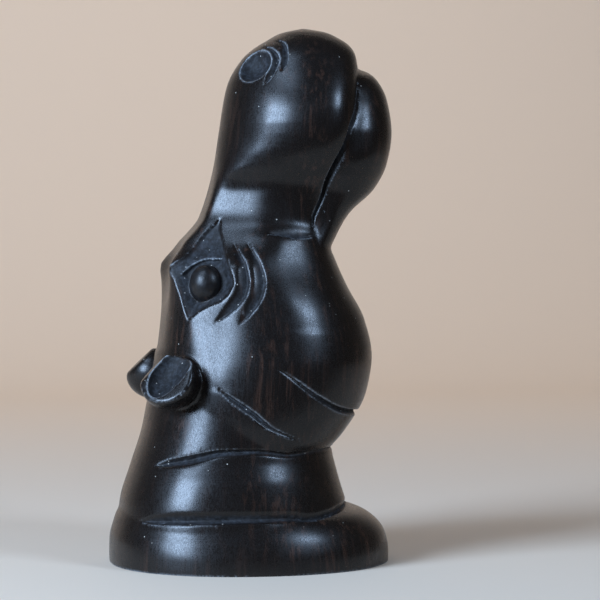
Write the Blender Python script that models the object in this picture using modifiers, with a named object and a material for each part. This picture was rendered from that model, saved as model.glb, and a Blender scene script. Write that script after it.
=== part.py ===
# Hippo head with its muzzle raised, carved from one block of dark wood on a rolled foot.
# The face looks along -X, the throat is towards +X, and the two sides match across Y = 0.
import math

import bmesh
import bpy
import numpy as np
from mathutils import Matrix, Vector, geometry
from mathutils.bvhtree import BVHTree

# Driving size, in metres
HEIGHT = 0.150

# The carving is drawn in 150ths of its height, so one unit is a millimetre at this size
UNIT = HEIGHT / 150

# The carving stands with the middle of its length this far along from where it is drawn
MIDDLE = 0.49

# How finely the block is worked, in units
BLOCK_GRAIN = 0.75
BLOCK_SMOOTHING = 5
BLOCK_TRIANGLES = 3200
RING_STEP = 0.6
RING_SIDES = 180

# How far from the middle the brows stand out fully, and how much of what stands over a pared plane
# is taken off, so that the plane stays a little round
BROW_SPREAD = 14
FLATNESS = 0.78

# Each solid's outline as lines of (height, distance) points: how far its face side and its throat
# side lie from the middle, how wide it is to each side and where, and how square its two ends are
HEAD = {
    "face": [
        (27, -8), (31, -27), (38, -28.6), (52, -27.4), (60, -26.2), (72, -25.4), (82, -26.2),
        (86, -26.4), (89, -22.6), (92, -18.8), (98, -14.2), (108, -10.9), (122, -8.2), (134, -6),
        (141, -2.2), (144.6, 1.6), (146.8, 5.2), (149.1, 9.6), (150, 14.5),
    ],
    "throat": [
        (27, 8), (31, 20.5), (38, 27.6), (48, 33.2), (58, 34.8), (68, 32.8), (78, 27.6),
        (87, 23.6), (92, 21.6), (98, 22), (108, 25.2), (118, 28.4), (128, 30), (138, 30.3),
        (142, 30), (145, 28.6), (147.6, 25), (149.2, 21.5), (150, 16.5),
    ],
    "half width": [
        (27, 8), (31, 26), (36, 29.6), (46, 31.3), (57, 31.2), (66, 30.2), (74, 28.2), (80, 26),
        (84, 24.8), (88, 23.4), (91, 22), (93, 19.4), (95, 17.6), (98, 16.2), (101, 15.6),
        (104.5, 15.6), (108, 17.4), (111, 20), (114, 22.6), (117, 24.6), (120, 25.5), (123, 25.8),
        (126, 25.5), (130, 24.5), (134, 22.8), (139, 20.2), (145, 16.2), (148.5, 11), (150, 5),
    ],
    "widest": [(27, 0), (38, 4), (60, 6.4), (86, 5), (100, 9.5), (120, 17.5), (134, 18), (150, 14.5)],
    "face squareness": [
        (27, 2.1), (60, 2.2), (80, 2.6), (90, 2.8), (100, 3), (106, 2.6), (112, 2.1), (120, 1.9),
        (150, 1.9),
    ],
    "throat squareness": [
        (27, 2.1), (90, 2.1), (96, 2.9), (104, 3.3), (114, 2.8), (140, 2.7), (150, 2.2),
    ],
    # The forehead's middle, pared away between the brows, and how far the brows stand out from it
    "forehead": [(60, -26.2), (68, -24.8), (77, -23.2), (84, -21.1), (90, -18.6), (97, -14.8)],
    "brows": [(60, 0), (70, 0.3), (78, 1.1), (83, 2.6), (86, 1.9), (89, 0.7), (97, 0)],
    # Upright planes pared into the sides at the snout's waist: the way each one faces, in degrees
    # from the side towards the face, with lines of (height, distance from the middle)
    "planes": [
        (30, [
            (78, 30), (82, 25.6), (84, 23.6), (86, 21.8), (88, 19.8), (92, 16.6), (95, 14.8),
            (98, 13.5), (101, 12.8), (104.5, 12.6), (108, 14.2), (111, 17), (115, 24),
        ]),
        (-18, [(79, 29), (83, 25.2), (86, 23), (91, 21.6), (92.6, 20.8), (94, 20), (96, 19.5)]),
    ],
}
LOWER_JAW = {
    "face": [(82, 6), (98, 9), (116, 13), (132, 17), (137.5, 20), (139.4, 25)],
    "throat": [
        (82, 20), (90, 23.6), (98, 28.2), (105, 35.5), (112, 39), (121, 40.4), (130, 39.2),
        (135.5, 36.6), (138, 33.9), (139.4, 29.5),
    ],
    "half width": [
        (82, 20), (90, 16), (97, 14.6), (103, 15), (109, 17.2), (115, 19.8), (122, 20.8), (130, 19),
        (136, 15), (139.4, 4),
    ],
    "widest": [(82, 12), (97, 20), (106, 24), (115, 25.5), (124, 27), (139.4, 28)],
    "face squareness": [(82, 2.4), (139.4, 2.4)],
    "throat squareness": [(82, 2.3), (120, 2.7), (139.4, 2.2)],
}
NECK = {
    "face": [(4, -37.4), (17, -36.4), (27, -33.5), (37, -30.3), (48, -28), (58, -24), (62, -12)],
    "throat": [(4, 30), (14, 28.4), (20, 26.4), (27, 24.4), (31.5, 23.4), (38, 23.2), (58, 18), (62, 8)],
    "half width": [(4, 34), (16, 33), (24, 31.8), (31, 29.6), (38, 29), (50, 28), (58, 24), (62, 10)],
    "widest": [(4, -3), (31, -4), (62, 0)],
    "face squareness": [(4, 2.4), (31, 2.2), (62, 2.1)],
    "throat squareness": [(4, 2.1), (62, 2.1)],
}
# The foot is drawn past the underside, which is then sawn level
FOOT = {
    "face": [(-4, -39.2), (3, -39.4), (7, -39.3), (11, -38.3), (14.5, -37), (16.2, -34)],
    "throat": [(-4, 39.5), (3, 39.6), (6, 39.2), (9, 38.2), (12.5, 35.2), (15.2, 30), (16.2, 25)],
    "half width": [(-4, 36.5), (0, 36.5), (4, 36.3), (8, 35.4), (12, 33.7), (14.6, 31.6), (16.2, 27)],
    "widest": [(-4, 0), (16.2, 0)],
    "face squareness": [(-4, 2.4), (16.2, 2.4)],
    "throat squareness": [(-4, 2.1), (16.2, 2.1)],
}

# Rounded lumps and hollows of the near side, as centre, radii and turn in degrees about X, Y and Z
EAR = {"centre": (-24.4, -24.4, 52.2), "radii": (8.6, 9, 7.9), "turn": (0, 0, 0)}
EAR_SCOOP = {"centre": (-25.4, -28.3, 57), "radii": (6.2, 7.8, 9.8), "turn": (0, 28, 0)}
NOSTRIL = {"centre": (-1.5, -12.6, 140.4), "radii": (6.1, 7.8, 5.9), "turn": (0, 0, 0)}
EYEBALL = {"centre": (-14.6, -19.4, 79), "radii": (4.7, 5.1, 5.7), "turn": (0, 0, 0)}
# The ear is sliced off where it opens and along its outer edge: each slice's way out, and how far
# it lies from the ear's centre
EAR_SLICES = [((-0.48, -0.62, 0.62), 2.6), ((-0.707, 0, 0.707), 5.4)]

# The eye socket: a kite cut round the eyeball, with a sloping lid above it
SOCKET_CENTRE = (-14.6, -22, 79)
SOCKET_FACING = 33
SOCKET_OUTLINE = [
    (-2.6, 17.6), (-1.4, 14.1), (2.4, 9.8), (5.5, 5.6), (7.2, 2.2), (7.7, -0.4), (6.8, -3.5),
    (4.7, -5.4), (1.8, -6.5), (-1, -7.9), (-4.7, -10.6), (-6.2, -7.8), (-7.8, -3.7), (-9.8, 0.6),
    (-12, 3.9), (-8.4, 6.9), (-7.2, 8.8), (-6.7, 11.3), (-6.2, 14.1),
]
SOCKET_DEPTH = 2.7
SOCKET_WALL = 1.2
# The lid lies outside a ring round the eyeball, shallower towards the socket's upper tip
LID_RADIUS = 6.9
LID_RING_LIFT = 1
LID_START = 3
LID_DEPTH = 1.5
LID_TOP_DEPTH = 0.5
# The socket's cutter reaches this far out from the socket's centre, past the wood all round
SOCKET_TOP = 8
SOCKET_SPOKES = 30
SOCKET_RINGS = 6

# Gouge cuts on the near side. Each runs along points (x, y, z, size), dropped on the wood;
# below and above are the widths on the two sides of its deepest line, times the size
CUTS = {
    "mouth line": {
        "path": [
            (28, -14, 135.5, 0.3), (26.4, -19, 126, 0.7), (25.2, -20.2, 123.5, 1),
            (24.2, -21, 120.6, 1), (22.4, -20, 114.8, 1), (20.2, -17.4, 109.8, 0.9),
            (17.8, -14.4, 101.4, 0.7), (16, -14.4, 96.4, 0.6), (15.8, -16.4, 91.7, 0.1),
        ],
        "below": 1.0, "above": 1.2, "depth": 2.6,
    },
    "mouth corner": {
        "path": [
            (17, -16, 91.7, 0.2), (13.4, -18.4, 91.5, 0.8), (10, -19.6, 91.8, 1), (6, -19.8, 92.6, 0.8),
            (1.6, -19, 92.9, 0.1),
        ],
        "below": 0.4, "above": 2.6, "depth": 1.0,
    },
    "jowl fold": {
        "path": [
            (0, -30.9, 58.4, 0.1), (7.5, -31.1, 53.4, 0.5), (15, -29.6, 48, 0.8), (22.5, -24, 44, 1),
            (28, -15, 42.6, 1.1), (30.4, 0, 42.4, 1.1), (30.2, 3, 42.4, 1.1),
        ],
        "below": 0.9, "above": 0.6, "depth": 1.6,
    },
    "cheek fold": {
        "path": [
            (-13, -26.6, 51.2, 0.1), (-8, -29, 47.2, 0.9), (-2.8, -30.5, 43.4, 1), (3, -30.4, 39, 0.7),
            (9, -29, 36.6, 0.4), (14, -26, 35.2, 0.1),
        ],
        "below": 0.9, "above": 0.7, "depth": 1.3,
    },
    "upper neck fold": {
        "path": [
            (-28.7, -17.6, 28.3, 0.1), (-25, -21.6, 29.9, 0.8), (-19.4, -25.6, 31.2, 1), (-11, -28.7, 33, 0.8),
            (-1.5, -29.4, 33.2, 0.6), (8.5, -27, 32, 0.5), (17, -20.4, 32.2, 0.5), (22, -11, 32.4, 0.4),
            (23.6, 0, 32.4, 0.4), (23.4, 3, 32.4, 0.4),
        ],
        "below": 1.8, "above": 0.9, "depth": 1.9,
    },
    "lower neck fold": {
        "path": [
            (-33.3, -19, 13.5, 0.1), (-30, -24, 14, 0.7), (-23, -29, 14.5, 1), (-13, -32.3, 14.8, 1),
            (-1.5, -33.4, 15, 0.9), (10, -31.6, 15.2, 0.8), (20, -24, 15.8, 0.7), (26, -12, 16.4, 0.6),
            (27.8, 0, 16.6, 0.6), (27.6, 3, 16.6, 0.6),
        ],
        "below": 1.2, "above": 1.7, "depth": 1.7,
    },
    "inner eye wrinkle": {
        "path": [
            (-6.4, -16.7, 90.6, 0.1), (-5.2, -21, 87.1, 0.6), (-4, -23.6, 83.8, 0.8),
            (-3.6, -25.4, 79.7, 1), (-4.4, -26.5, 76.4, 1), (-6.4, -26.9, 73.6, 1),
            (-9.4, -26.5, 71, 0.8), (-13.2, -25, 68, 0.1),
        ],
        "below": 2.7, "above": 0.6, "depth": 1.2,
    },
    "outer eye wrinkle": {
        "path": [
            (-2.9, -18.5, 90.6, 0.1), (-1.4, -21.9, 87.3, 0.6), (0.2, -24, 83.8, 0.8),
            (1, -25.8, 79.7, 1), (0.3, -27.2, 76.4, 1), (-1.6, -28.2, 73.2, 1),
            (-3.8, -28.6, 70.7, 0.8), (-6.8, -28.2, 67.6, 0.1),
        ],
        "below": 2.5, "above": 0.6, "depth": 1.1,
    },
    "inner nostril wrinkle": {
        "path": [
            (1.7, -16.9, 133.1, 0.1), (3.6, -17.4, 135.7, 0.8), (5, -17, 138.2, 1), (6, -15.6, 141, 1),
            (5.2, -12, 143.4, 0.7), (2.6, -6.5, 144.7, 0.1),
        ],
        "below": 0.5, "above": 2.0, "depth": 1.4,
    },
    "outer nostril wrinkle": {
        "path": [
            (6.3, -18.4, 137.1, 0.1), (7.6, -18.2, 139.3, 0.8), (8.2, -16.6, 141.8, 1),
            (8.4, -13.8, 144.6, 0.8), (6, -7, 146.6, 0.1),
        ],
        "below": 0.5, "above": 2.0, "depth": 1.2,
    },
}

# How finely the cuts and balls are drawn, how wide a cut's floor is to each side, and how far the
# cutters stand out over the wood
BALL_RINGS = 8
CUT_STEP = 3.2
CUT_FLOOR = 0.12
CUT_CLEARANCE = 1.0

# Colour and finish of the wood
WOOD_COLOUR = (0.012, 0.008, 0.007)
WOOD_ROUGHNESS = 0.34


def line_through(points, at):
    """A smooth line through (place, value) points that never swings past them."""
    places = np.array([p[0] for p in points], dtype=float)
    values = np.array([p[1] for p in points], dtype=float)
    gaps = np.diff(places)
    slopes = np.diff(values) / gaps
    tangents = np.zeros(len(values))
    tangents[0] = slopes[0]
    tangents[-1] = slopes[-1]
    for i in range(1, len(values) - 1):
        if slopes[i - 1] * slopes[i] > 0:
            before = 2 * gaps[i] + gaps[i - 1]
            after = gaps[i] + 2 * gaps[i - 1]
            tangents[i] = (before + after) / (before / slopes[i - 1] + after / slopes[i])
    at = np.clip(at, places[0], places[-1])
    cell = np.clip(np.searchsorted(places, at) - 1, 0, len(gaps) - 1)
    t = (at - places[cell]) / gaps[cell]
    level = values[cell] * (1 + 2 * t) * (1 - t) ** 2 + values[cell + 1] * t ** 2 * (3 - 2 * t)
    bend = tangents[cell] * t * (1 - t) ** 2 - tangents[cell + 1] * t ** 2 * (1 - t)
    return level + bend * gaps[cell]


def signed_power(value, exponent):
    return math.copysign(abs(value) ** exponent, value)


def as_object(name, bm, collection):
    mesh = bpy.data.meshes.new(name)
    bm.to_mesh(mesh)
    bm.free()
    made = bpy.data.objects.new(name, mesh)
    collection.objects.link(made)
    return made


def skin(bm, loops):
    """Faces between loops of points, with both ends closed."""
    rings = [[bm.verts.new(point) for point in loop] for loop in loops]
    sides = len(rings[0])
    for lower, upper in zip(rings, rings[1:]):
        for i in range(sides):
            j = (i + 1) % sides
            bm.faces.new((lower[i], lower[j], upper[j], upper[i]))
    bm.faces.new(list(reversed(rings[0])))
    bm.faces.new(rings[-1])


def lofted(bm, lines):
    """A solid drawn through level oval sections, each with its own squareness front and back."""
    low, high = lines["face"][0][0], lines["face"][-1][0]
    heights = np.linspace(low, high, int(round((high - low) / RING_STEP)) + 1)
    face, throat, width, widest, face_square, throat_square = (
        line_through(lines[key], heights)
        for key in ("face", "throat", "half width", "widest", "face squareness", "throat squareness")
    )
    flat = np.full(len(heights), -math.inf)
    brows = np.zeros(len(heights))
    if "forehead" in lines:
        pared = (heights >= lines["forehead"][0][0]) & (heights <= lines["forehead"][-1][0])
        flat[pared] = line_through(lines["forehead"], heights[pared])
        brows[pared] = line_through(lines["brows"], heights[pared])
    planes = []
    for facing, distances in lines.get("planes", []):
        level = np.full(len(heights), math.inf)
        reached = (heights >= distances[0][0]) & (heights <= distances[-1][0])
        level[reached] = line_through(distances, heights[reached])
        planes.append((math.sin(math.radians(facing)), math.cos(math.radians(facing)), level))
    loops = []
    for k, z in enumerate(heights):
        loop = []
        for i in range(RING_SIDES):
            angle = 2 * math.pi * i / RING_SIDES
            forward = math.cos(angle)
            square = throat_square[k] if forward > 0 else face_square[k]
            reach = throat[k] - widest[k] if forward > 0 else widest[k] - face[k]
            x = widest[k] + reach * signed_power(forward, 2 / square)
            y = width[k] * signed_power(math.sin(angle), 2 / square)
            x = max(x, flat[k] - brows[k] * min(1, abs(y) / BROW_SPREAD) ** 2)
            for sine, cosine, level in planes:
                over = FLATNESS * max(0, abs(y) * cosine - x * sine - level[k])
                x += over * sine
                y -= math.copysign(over * cosine, y)
            loop.append(Vector((x, y, z)) * UNIT)
        loops.append(loop)
    skin(bm, loops)


def add_ball(bm, ball):
    """An egg shape from its centre, radii and turn."""
    made = bmesh.ops.create_uvsphere(bm, u_segments=BALL_RINGS * 2, v_segments=BALL_RINGS, radius=1)
    place = Matrix.Translation(Vector(ball["centre"]) * UNIT)
    for axis, angle in zip("ZYX", reversed(ball["turn"])):
        place = place @ Matrix.Rotation(math.radians(angle), 4, axis)
    place = place @ Matrix.Diagonal((*(radius * UNIT for radius in ball["radii"]), 1))
    bmesh.ops.transform(bm, matrix=place, verts=made["verts"])


def slice_flat(bm, place, out):
    """Slice off what lies outside a plane, and close the cut."""
    everything = bm.verts[:] + bm.edges[:] + bm.faces[:]
    bmesh.ops.bisect_plane(bm, geom=everything, plane_co=place, plane_no=out, clear_outer=True)
    bmesh.ops.contextual_create(bm, geom=[edge for edge in bm.edges if edge.is_boundary])
    bmesh.ops.recalc_face_normals(bm, faces=bm.faces)


def add_ear(bm):
    """An egg shape with its slices taken off."""
    ear = bmesh.new()
    add_ball(ear, EAR)
    for way, distance in EAR_SLICES:
        out = Vector(way).normalized()
        slice_flat(ear, (Vector(EAR["centre"]) + out * distance) * UNIT, out)
    mesh = bpy.data.meshes.new("ear")
    ear.to_mesh(mesh)
    ear.free()
    bm.from_mesh(mesh)
    bpy.data.meshes.remove(mesh)


def evaluated_copy(name, source, collection):
    graph = bpy.context.evaluated_depsgraph_get()
    mesh = bpy.data.meshes.new_from_object(source.evaluated_get(graph))
    mesh.name = name
    made = bpy.data.objects.new(name, mesh)
    collection.objects.link(made)
    bpy.data.objects.remove(source)
    return made


def rounded_block(collection):
    """The head, jaw, neck, foot and near ear worked into one smooth closed form, sawn level below."""
    bm = bmesh.new()
    for lines in (HEAD, LOWER_JAW, NECK, FOOT):
        lofted(bm, lines)
    add_ear(bm)
    rough = as_object("rough block", bm, collection)
    merge = rough.modifiers.new("merge", "REMESH")
    merge.mode = "VOXEL"
    merge.voxel_size = BLOCK_GRAIN * UNIT
    soften = rough.modifiers.new("soften", "SMOOTH")
    soften.factor = 0.5
    soften.iterations = BLOCK_SMOOTHING
    worked = evaluated_copy("worked block", rough, collection)
    bm = bmesh.new()
    bm.from_mesh(worked.data)
    slice_flat(bm, Vector((0, 0, 0)), Vector((0, 0, -1)))
    bm.to_mesh(worked.data)
    bm.free()
    thin = worked.modifiers.new("thin", "DECIMATE")
    thin.ratio = BLOCK_TRIANGLES / sum(len(face.vertices) - 2 for face in worked.data.polygons)
    return evaluated_copy("hippo_head", worked, collection)


def gouge_cut(bm, cut, wood):
    """A tapering V with a narrow floor, swept along the cut's path on the wood."""
    points = np.array(cut["path"], dtype=float)
    run = np.concatenate(([0], np.cumsum(np.linalg.norm(np.diff(points[:, :3], axis=0), axis=1))))
    steps = np.linspace(0, run[-1], max(6, int(run[-1] / CUT_STEP)) + 1)
    x, y, z, size = (line_through(list(zip(run, points[:, k])), steps) for k in range(4))
    dropped = [wood.find_nearest(Vector(p) * UNIT) for p in zip(x, y, z)]
    places = [hit[0] for hit in dropped]
    loops = []
    for i, (place, hit) in enumerate(zip(places, dropped)):
        ahead = (places[min(i + 1, len(places) - 1)] - places[max(i - 1, 0)]).normalized()
        near = [h[1] for h in dropped[max(i - 2, 0):i + 3]]
        out = sum(near, Vector())
        out = (out - out.project(ahead)).normalized()
        across = out.cross(ahead)
        below, above, depth = (cut[key] * size[i] for key in ("below", "above", "depth"))
        floor = CUT_FLOOR * size[i]
        flare = CUT_CLEARANCE / cut["depth"]
        section = (
            (-below - cut["below"] * flare, CUT_CLEARANCE),
            (-floor, -depth),
            (floor, -depth),
            (above + cut["above"] * flare, CUT_CLEARANCE),
        )
        loops.append([place + (across * u + out * v) * UNIT for u, v in section])
    skin(bm, loops)


def socket_depth(u, v, inset):
    """How deep the eye socket is at a point, where inset is its distance inside the outline."""
    rise = min(1, max(0, (v - LID_RADIUS) / (SOCKET_OUTLINE[0][1] - LID_RADIUS)))
    lid = LID_DEPTH + (LID_TOP_DEPTH - LID_DEPTH) * rise
    outside_ring = math.hypot(u, v - LID_RING_LIFT) - LID_RADIUS + 1
    over_lid = min(1, max(0, outside_ring)) * min(1, max(0, v / LID_START))
    return min(SOCKET_DEPTH + (lid - SOCKET_DEPTH) * over_lid, inset * SOCKET_WALL)


def outline_reach(outline, angle):
    """How far the outline lies from its centre in one direction."""
    beyond = sum(abs(u) + abs(v) for u, v in outline)
    ray = Vector((math.cos(angle), math.sin(angle))) * beyond
    reaches = []
    for a, b in zip(outline, outline[1:] + outline[:1]):
        hit = geometry.intersect_line_line_2d((0, 0), ray, a, b)
        if hit:
            reaches.append(hit.length)
    return max(reaches)


def outline_inset(outline, u, v):
    """How far a point lies inside the outline."""
    place = Vector((u, v, 0))
    gaps = []
    for a, b in zip(outline, outline[1:] + outline[:1]):
        a, b = Vector((*a, 0)), Vector((*b, 0))
        nearest, share = geometry.intersect_point_line(place, a, b)
        nearest = a + (b - a) * min(1, max(0, share))
        gaps.append((nearest - place).length)
    return min(gaps)


def socket_cut(bm, wood):
    """The eye socket as one stamped hollow that follows the wood."""
    facing = math.radians(SOCKET_FACING)
    out = Vector((-math.sin(facing), -math.cos(facing), 0))
    across = Vector((math.cos(facing), -math.sin(facing), 0))
    up = Vector((0, 0, 1))
    centre = Vector(SOCKET_CENTRE)

    def point(u, v, level):
        return (centre + across * u + up * v + out * level) * UNIT

    def wood_level(u, v):
        return SOCKET_TOP - wood.ray_cast(point(u, v, SOCKET_TOP), -out)[3] / UNIT

    lip = CUT_CLEARANCE / SOCKET_WALL
    reaches = []
    for k in range(SOCKET_SPOKES):
        angle = 2 * math.pi * k / SOCKET_SPOKES
        reaches.append((outline_reach(SOCKET_OUTLINE, angle), math.cos(angle), math.sin(angle)))
    loops = []
    for ring in range(1, SOCKET_RINGS + 1):
        share = ring / SOCKET_RINGS
        loop = []
        for reach, cosine, sine in reaches:
            u, v = share * reach * cosine, share * reach * sine
            depth = socket_depth(u, v, outline_inset(SOCKET_OUTLINE, u, v))
            loop.append(point(u, v, wood_level(u, v) - depth))
        loops.append(loop)
    flared = []
    for reach, cosine, sine in reaches:
        level = wood_level(reach * cosine, reach * sine) + CUT_CLEARANCE
        flared.append(((reach + lip) * cosine, (reach + lip) * sine, level))
    loops.append([point(u, v, level) for u, v, level in flared])
    loops.append([point(u, v, SOCKET_TOP) for u, v, level in flared])
    skin(bm, loops)


def carve(block, tools):
    """Cut the near side and mirror it, so that both sides are the same."""
    wood = BVHTree.FromObject(block, bpy.context.evaluated_depsgraph_get())
    cutters = []
    for name, cut in CUTS.items():
        bm = bmesh.new()
        gouge_cut(bm, cut, wood)
        cutters.append((as_object(name, bm, tools), "DIFFERENCE"))
    bm = bmesh.new()
    socket_cut(bm, wood)
    cutters.append((as_object("eye socket", bm, tools), "DIFFERENCE"))
    for name, ball, action in (("ear scoop", EAR_SCOOP, "DIFFERENCE"), ("nostril", NOSTRIL, "DIFFERENCE"),
                               ("eyeball", EYEBALL, "UNION")):
        bm = bmesh.new()
        add_ball(bm, ball)
        cutters.append((as_object(name, bm, tools), action))
    for tool, action in cutters:
        bm = bmesh.new()
        bm.from_mesh(tool.data)
        bmesh.ops.recalc_face_normals(bm, faces=bm.faces)
        bm.to_mesh(tool.data)
        bm.free()
        tool.hide_render = True
        tool.display_type = "WIRE"
        step = block.modifiers.new(tool.name, "BOOLEAN")
        step.operation = action
        step.solver = "EXACT"
        step.object = tool
    mirror = block.modifiers.new("far side", "MIRROR")
    mirror.use_axis = (False, True, False)
    mirror.use_bisect_axis = (False, True, False)
    mirror.use_bisect_flip_axis = (False, True, False)
    mirror.merge_threshold = 0.0001
    for item in [block] + [tool for tool, action in cutters]:
        item.location.x = -MIDDLE * UNIT


def wood_material():
    material = bpy.data.materials.new("dark polished wood")
    material.use_nodes = True
    finish = material.node_tree.nodes["Principled BSDF"]
    finish.inputs["Base Color"].default_value = (*WOOD_COLOUR, 1)
    finish.inputs["Roughness"].default_value = WOOD_ROUGHNESS
    finish.inputs["Metallic"].default_value = 0
    return material


def main():
    for item in list(bpy.data.objects):
        bpy.data.objects.remove(item)
    carving = bpy.data.collections.new("wooden hippo head")
    tools = bpy.data.collections.new("Cutters")
    bpy.context.scene.collection.children.link(carving)
    bpy.context.scene.collection.children.link(tools)
    block = rounded_block(carving)
    carve(block, tools)
    block.data.materials.append(wood_material())


main()
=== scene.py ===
import math

import bmesh
import bpy
import numpy as np
from mathutils import Matrix, Vector, geometry, noise
from mathutils.bvhtree import BVHTree


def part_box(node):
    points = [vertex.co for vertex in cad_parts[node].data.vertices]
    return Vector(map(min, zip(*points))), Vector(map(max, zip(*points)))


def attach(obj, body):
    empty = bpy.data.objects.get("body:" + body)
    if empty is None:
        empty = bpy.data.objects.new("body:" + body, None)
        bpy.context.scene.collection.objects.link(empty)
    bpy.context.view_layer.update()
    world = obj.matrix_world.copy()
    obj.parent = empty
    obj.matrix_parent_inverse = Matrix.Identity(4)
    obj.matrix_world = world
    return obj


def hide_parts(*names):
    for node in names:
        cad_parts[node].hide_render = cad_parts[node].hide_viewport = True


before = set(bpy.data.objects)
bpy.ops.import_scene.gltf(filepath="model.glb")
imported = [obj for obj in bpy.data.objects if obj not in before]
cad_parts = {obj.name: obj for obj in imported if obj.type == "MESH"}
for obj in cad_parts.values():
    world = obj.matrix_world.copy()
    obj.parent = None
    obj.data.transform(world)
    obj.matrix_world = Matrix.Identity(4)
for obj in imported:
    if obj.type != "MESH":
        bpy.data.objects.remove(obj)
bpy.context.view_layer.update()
lowCorner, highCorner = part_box("hippo_head")

# The carving is drawn in 150ths of its height, so one unit is a millimetre on a head 150 mm tall
unit = (highCorner.z - lowCorner.z) / 150
middle = 0.49  # where the middle of the carving's length lies in the drawing, in units
toMiddle = Vector((-middle * unit, 0, 0))
print("frame loaded, one unit is", round(unit * 1000, 4), "mm")


# Outlines, as lines of (height, distance): face side, throat side, width to each side and where it
# is widest, and how square the two ends of each level section are
head = {
    "face": [
        (27, -8), (31, -27), (38, -28.6), (52, -27.4), (60, -26.2), (72, -25.4), (82, -26.2),
        (86, -26.2), (89, -22), (92, -17.8), (98, -13.2), (108, -10.4), (122, -8.2), (134, -6),
        (141, -2.2), (144.6, 1.6), (146.8, 5.2), (149.1, 9.6), (150, 14.5),
    ],
    "throat": [
        (27, 8), (31, 20.5), (38, 27.6), (48, 33.2), (58, 34.8), (68, 32.8), (78, 27.6), (87, 23.6),
        (92, 21.6), (98, 22), (108, 25.2), (118, 28.4), (128, 30), (138, 30.3), (142, 30), (145, 28.6),
        (147.6, 25), (149.2, 21.5), (150, 16.5),
    ],
    "half width": [
        (27, 8), (31, 26), (36, 29.6), (46, 31.3), (52, 31.6), (56, 31.5), (60, 30.9), (66, 29.7),
        (74, 27.9), (80, 26), (84, 24.9), (88, 23.7), (91, 22.5), (93, 20.4), (95, 18.7), (98, 17.8),
        (101, 17.4), (104.5, 17.8), (108, 19.2), (111, 21), (114, 22.9), (117, 24.3), (120, 25.2),
        (123, 25.4), (126, 25.2), (130, 24.3), (134, 22.8), (139, 20.2), (145, 16.2), (148.5, 11),
        (150, 5),
    ],
    "widest": [(27, 0), (38, 4), (60, 6.4), (86, 5), (100, 9.5), (120, 17.5), (134, 18), (150, 14.5)],
    "face squareness": [
        (27, 2.1), (50, 2.2), (62, 2.3), (72, 2.45), (80, 2.7), (84, 3.2), (88, 3.6), (94, 4.4),
        (103, 4.4), (108, 3.2), (113, 2.2), (120, 1.9), (150, 1.9),
    ],
    "throat squareness": [(27, 2.1), (90, 2.1), (96, 2.9), (104, 3.3), (114, 2.8), (140, 2.7), (150, 2.2)],
    "forehead": [(60, -26.2), (68, -24.8), (77, -23.2), (84, -21.5), (90, -19.2), (97, -15)],
    "brows": [(60, 0), (70, 0.5), (78, 1.5), (83, 3.1), (86, 2.4), (89, 1.1), (97, 0.2)],
    "brow spread": 14, "brow softness": 1.3,
    # Each plane: the way it faces, in degrees from the side towards the face, how softly its crisp end
    # and its soft end meet the rest, and how far it lies from the middle at each height
    "planes": [
        (30, 1.2, 2.6, [
            (50, 38), (54, 33.4), (58, 30.6), (62, 28.9), (66, 27.9), (70, 27.2), (74, 26.6),
            (78, 26.1), (81, 25.6), (83, 24.8), (85, 22.9), (88, 19.6), (90.3, 17.9), (92, 16.9),
            (95, 15.2), (98, 14.1), (101, 13.5), (104.5, 13.2), (107, 13.8), (110, 15.5), (114, 19),
            (118, 24), (122, 31),
        ]),
        (-15, 2, 3, [
            (66, 42), (70, 36.4), (74, 32), (78, 28.8), (81, 26.7), (84, 25.1), (86, 24.3), (88, 23.6),
            (90, 22.9), (91.6, 22.3), (93, 21.2), (96, 20.4), (100, 22), (104, 26), (108, 32),
        ]),
    ],
    # Where the planes start to turn soft, towards the throat and upwards, and over how far
    "softens along": (-6, 9), "softens up": (101, 7),
}
lowerJaw = {
    "face": [(82, 6), (98, 9), (116, 13), (132, 17), (137.5, 20), (139.4, 25)],
    "throat": [
        (82, 20), (90, 23.6), (98, 28.2), (105, 35.5), (112, 39), (121, 40.4), (130, 39.2),
        (135.5, 36.6), (138, 33.9), (139.4, 29.5),
    ],
    "half width": [
        (82, 20), (90, 16), (97, 14.6), (103, 15.4), (109, 18.4), (115, 20.5), (120, 20.3), (125, 19),
        (130, 17.2), (136, 13.5), (139.4, 4),
    ],
    "widest": [(82, 12), (97, 20), (106, 24), (115, 25.5), (124, 27), (139.4, 28)],
    "face squareness": [(82, 2.4), (139.4, 2.4)],
    "throat squareness": [(82, 2.3), (115, 2.35), (124, 2.3), (139.4, 2.1)],
}
neck = {
    "face": [(4, -37.4), (17, -36.4), (27, -33.5), (37, -30.3), (48, -28), (58, -24), (62, -12)],
    "throat": [(4, 30), (14, 28.4), (20, 26.4), (27, 24.4), (31.5, 23.4), (38, 23.2), (58, 18), (62, 8)],
    "half width": [(4, 34), (16, 33), (24, 31.8), (31, 29.6), (38, 29), (50, 28), (58, 24), (62, 10)],
    "widest": [(4, -3), (31, -4), (62, 0)],
    "face squareness": [(4, 2.4), (31, 2.2), (62, 2.1)],
    "throat squareness": [(4, 2.1), (62, 2.1)],
}
foot = {
    "face": [(-4, -39.2), (3, -39.4), (7, -39.3), (11, -38.3), (14.5, -37), (16.2, -34)],
    "throat": [(-4, 39.5), (3, 39.6), (6, 39.2), (9, 38.2), (12.5, 35.2), (15.2, 30), (16.2, 25)],
    "half width": [(-4, 36.5), (0, 36.5), (4, 36.3), (8, 35.4), (12, 33.7), (14.6, 31.6), (16.2, 27)],
    "widest": [(-4, 0), (16.2, 0)],
    "face squareness": [(-4, 2.25), (16.2, 2.25)],
    "throat squareness": [(-4, 2.1), (16.2, 2.1)],
}

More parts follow.
